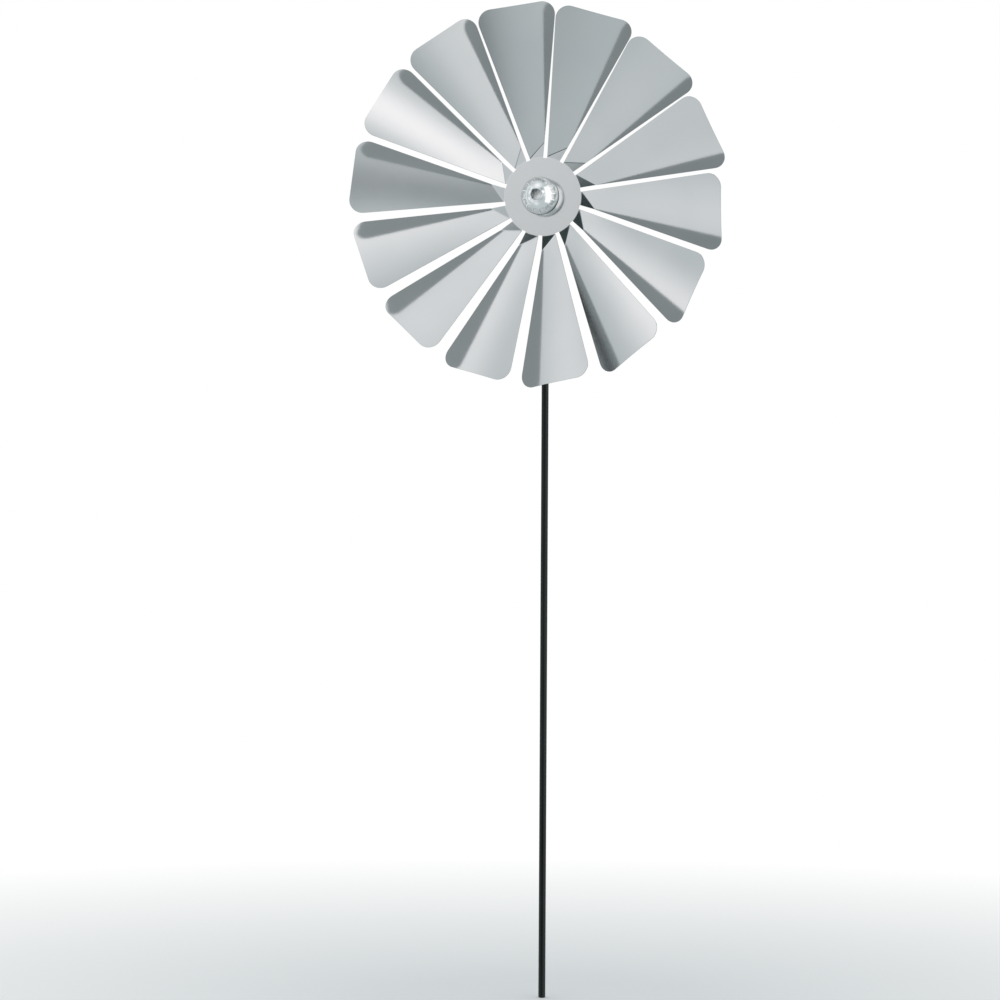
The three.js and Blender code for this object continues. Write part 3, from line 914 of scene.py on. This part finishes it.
class World(NodeTree):
    """The surroundings; every colour is seen along a direction."""

    def __init__(self):
        world = bpy.data.worlds.new("studio")
        world.use_nodes = True
        bpy.context.scene.world = world
        super().__init__(world.node_tree)
        self.tree.nodes.clear()
        self.towards = self.tree.nodes.new("ShaderNodeTexCoord").outputs["Generated"]

    def along(self, axis):
        """How far the seen direction points along an axis: 1 is straight at it."""
        return self.measure("DOT_PRODUCT", self.towards, axis)

    def edge(self, value, half, soft):
        """1 inside half an opening, fading to 0 over a soft edge; half and soft are in degrees."""
        node = self.node(
            "ShaderNodeMapRange", Value=value,
            From_Min=math.radians(half + soft / 2), From_Max=math.radians(half - soft / 2))
        node.interpolation_type = "SMOOTHSTEP"
        return node.outputs["Result"]

    def pool(self, azimuth, elevation, spread):
        """1 in its middle, fading smoothly to 0; at its spread it is down to about a third."""
        narrow = 1 / (1 - math.cos(math.radians(spread)))
        away = self.math("SUBTRACT", self.along(direction(azimuth, elevation)), 1.0)
        return self.math("EXPONENT", self.math("MULTIPLY", away, narrow))

    def card(self, azimuth, elevation, half_width, half_height, soft):
        ahead = direction(azimuth, elevation)
        right = direction(azimuth + 90, 0)
        sideways = self.math("ARCTAN2", self.along(right), self.along(ahead))
        upward = self.math("ARCSINE", self.along(ahead.cross(right)))
        across = self.edge(self.math("ABSOLUTE", sideways), half_width, soft)
        return self.math("MULTIPLY", across, self.edge(self.math("ABSOLUTE", upward), half_height, soft))


def studio():
    """Surroundings that light the part and are reflected in it; the camera itself sees a pale backdrop."""
    world = World()
    colour = ROOM
    for azimuth, elevation, spread, strength, tint in POOLS.values():
        step = tuple(strength * channel for channel in tint)
        colour = world.vector("MULTIPLY_ADD", step, world.pool(azimuth, elevation, spread), colour)
    colour = world.vector("MAXIMUM", colour, DEEPEST)
    for *place, card_colour in CARDS.values():
        colour = world.mix_colour(world.card(*place), colour, card_colour)
    seen = world.node("ShaderNodeLightPath").outputs["Is Camera Ray"]
    background = world.node("ShaderNodeBackground", Color=world.mix_colour(seen, colour, BACKDROP))
    output = world.node("ShaderNodeOutputWorld")
    world.put(output.inputs["Surface"], background.outputs[0])


def floor():
    """Pale floor that fades into the backdrop between near and far, measured from the rod."""
    near, far, below = 0.15, 1.3, 0.2 * MM
    bpy.ops.mesh.primitive_plane_add(size=60)
    obj = bpy.context.object
    obj.name = "floor"
    m = Nodes("floor_paper")
    m.set(Base_Color=(0.86, 0.865, 0.865, 1), Roughness=0.7)
    fade = m.spread(m.measure("LENGTH", m.coords), 0, 1, start=near, end=far)
    glow = m.node("ShaderNodeEmission", Color=(*BACKDROP, 1), Strength=1.0)
    mix = m.node("ShaderNodeMixShader")
    for socket, value in zip(mix.inputs, (fade, m.shader.outputs[0], glow.outputs[0])):
        m.put(socket, value)
    m.put(m.tree.nodes["Material Output"].inputs["Surface"], mix.outputs[0])
    obj.data.materials.append(m.material)
    obj.visible_glossy = False
    obj.location.z = cad_bounds[0][2] - below


def camera():
    """Seen from a little right of the axle and below the hub, 3.6 m away."""
    distance, azimuth, elevation = 3.6, 12, -4.4
    heading, pitch, roll = (math.radians(a) for a in (12.652, 0.42, 0.311))
    eye = HUB + direction(azimuth, elevation) * distance
    ahead = Vector((
        -math.sin(heading) * math.cos(pitch), math.cos(heading) * math.cos(pitch), -math.sin(pitch)))
    data = bpy.data.cameras.new("camera")
    data.sensor_width = 36
    data.lens = data.sensor_width * distance        # frames 1 m at the hub
    obj = bpy.data.objects.new("camera", data)
    bpy.context.scene.collection.objects.link(obj)
    facing = ahead.to_track_quat("-Z", "Y").to_matrix().to_4x4()
    obj.matrix_world = Matrix.Translation(eye) @ facing @ Matrix.Rotation(roll, 4, "Z")
    bpy.context.scene.camera = obj


studio()
floor()
camera()
bpy.context.scene.view_settings.view_transform = "Standard"
